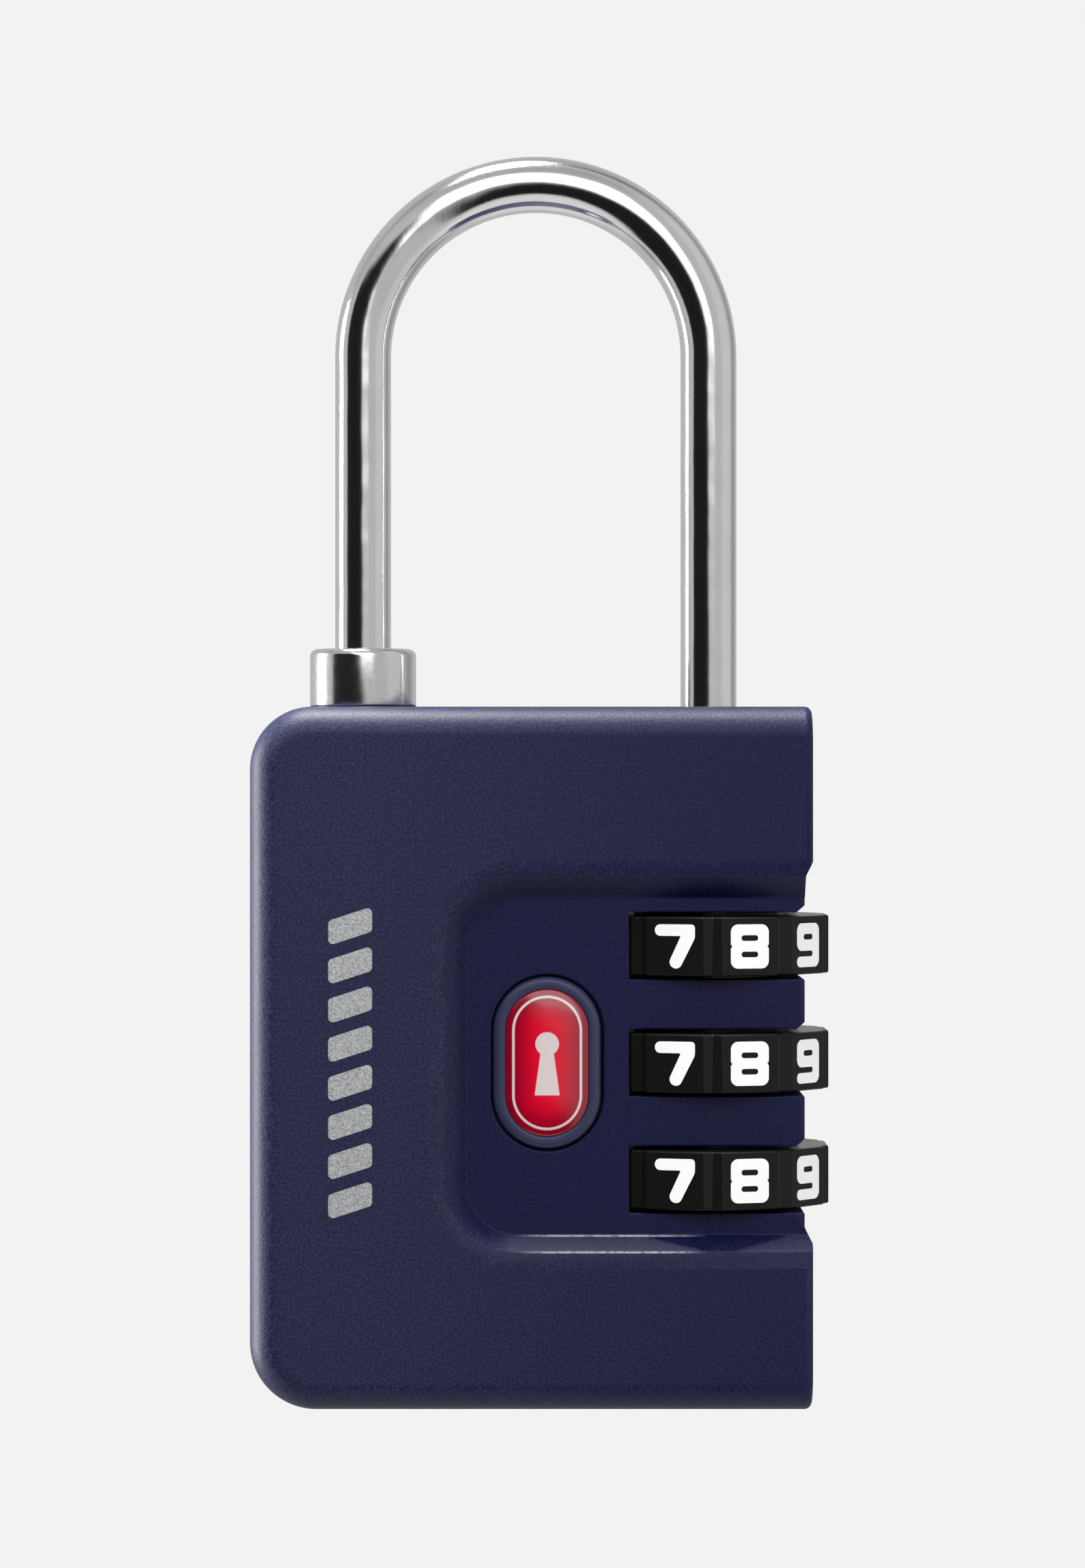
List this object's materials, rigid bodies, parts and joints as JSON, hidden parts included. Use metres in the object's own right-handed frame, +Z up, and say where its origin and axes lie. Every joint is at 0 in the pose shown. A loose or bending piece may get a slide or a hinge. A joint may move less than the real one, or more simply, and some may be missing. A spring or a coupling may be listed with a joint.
{
  "type": "combination padlock",
  "caption": "Luggage padlock with ten-sided number dials on the long leg of a turning shackle and a keyed collar on the short leg.",
  "frame": {"origin": "centre of the case's flat underside", "axes": "+X to the dial side, -Y out of the front with the badge, +Z up along the shackle legs"},
  "size_m": [0.0307, 0.013, 0.0666],
  "materials": {
    "case_paint": "satin dark navy paint over zinc die-casting, very fine grain",
    "badge_rim": "navy paint like the case, with a bevelled rim",
    "badge_enamel": "domed translucent red resin, high gloss",
    "dial_black": "black moulded plastic, semi-gloss",
    "digit_white": "white printed digits",
    "print_silver": "silver metallic print",
    "shackle_chrome": "polished chrome plate over steel",
    "collar_chrome": "chrome plate over steel, fine turned finish",
    "inner_steel": "zinc-plated steel",
    "spring_steel": "tempered spring steel",
    "brass": "turned brass"
  },
  "bodies": {
    "case": {"front_shell": "case_paint", "rear_shell": "case_paint", "shell_pins": "inner_steel", "badge_frame": "badge_rim", "badge_dome": "badge_enamel", "plug_housing": "brass", "stop_washer": "inner_steel", "detent_spring_upper": "spring_steel", "detent_spring_middle": "spring_steel", "detent_spring_lower": "spring_steel", "lift_spring": "spring_steel", "clutch_spring": "spring_steel"},
    "dial_upper": {"dial_upper": "dial_black"},
    "sleeve_upper": {"clutch_sleeve_upper": "brass"},
    "dial_middle": {"dial_middle": "dial_black"},
    "sleeve_middle": {"clutch_sleeve_middle": "brass"},
    "dial_lower": {"dial_lower": "dial_black"},
    "sleeve_lower": {"clutch_sleeve_lower": "brass"},
    "lift_carriage": {"spring_cap": "inner_steel"},
    "shackle": {"shackle": "shackle_chrome"},
    "service_core": {"gate_collar": "collar_chrome", "core_clip": "spring_steel", "core_shaft": "inner_steel", "key_plug": "brass", "wafers": "inner_steel", "wafer_springs": "spring_steel"}
  },
  "joints": [
    {"name": "dial_upper_turn", "type": "hinge", "parent": "case", "child": "dial_upper", "pos_m": [0.00952, 0, 0.0244], "axis": [0, 0, 1], "continuous": true, "deforming": ["detent_spring_upper"]},
    {"name": "dial_middle_turn", "type": "hinge", "parent": "case", "child": "dial_middle", "pos_m": [0.00952, 0, 0.01825], "axis": [0, 0, 1], "continuous": true, "deforming": ["detent_spring_middle"]},
    {"name": "dial_lower_turn", "type": "hinge", "parent": "case", "child": "dial_lower", "pos_m": [0.00952, 0, 0.0121], "axis": [0, 0, 1], "continuous": true, "deforming": ["detent_spring_lower"]},
    {"name": "sleeve_lower_press", "type": "slide", "parent": "dial_lower", "child": "sleeve_lower", "axis": [0, 0, -1], "range_m": [0, 0.0009], "stiffness_N_per_m": 200, "springref_m": -0.001, "deforming": ["clutch_spring"]},
    {"name": "sleeve_middle_press", "type": "slide", "parent": "dial_middle", "child": "sleeve_middle", "axis": [0, 0, -1], "range_m": [0, 0.0009], "stiffness_N_per_m": 200, "springref_m": -0.001},
    {"name": "sleeve_upper_press", "type": "slide", "parent": "dial_upper", "child": "sleeve_upper", "axis": [0, 0, -1], "range_m": [0, 0.0009], "stiffness_N_per_m": 200, "springref_m": -0.001},
    {"name": "shackle_lift", "type": "slide", "parent": "case", "child": "lift_carriage", "axis": [0, 0, 1], "range_m": [0, 0.006], "deforming": ["lift_spring"]},
    {"name": "shackle_turn", "type": "hinge", "parent": "lift_carriage", "child": "shackle", "pos_m": [0.00952, 0, 0.037], "axis": [0, 0, -1], "range_deg": [0, 180]},
    {"name": "core_turn", "type": "hinge", "parent": "case", "child": "service_core", "pos_m": [-0.00902, 0, 0.037], "axis": [0, 0, 1], "range_deg": [0, 90]}
  ],
  "couplings": [
    {"joint": "sleeve_middle_press", "follows": "sleeve_lower_press", "ratio": 1},
    {"joint": "sleeve_upper_press", "follows": "sleeve_lower_press", "ratio": 1}
  ]
}
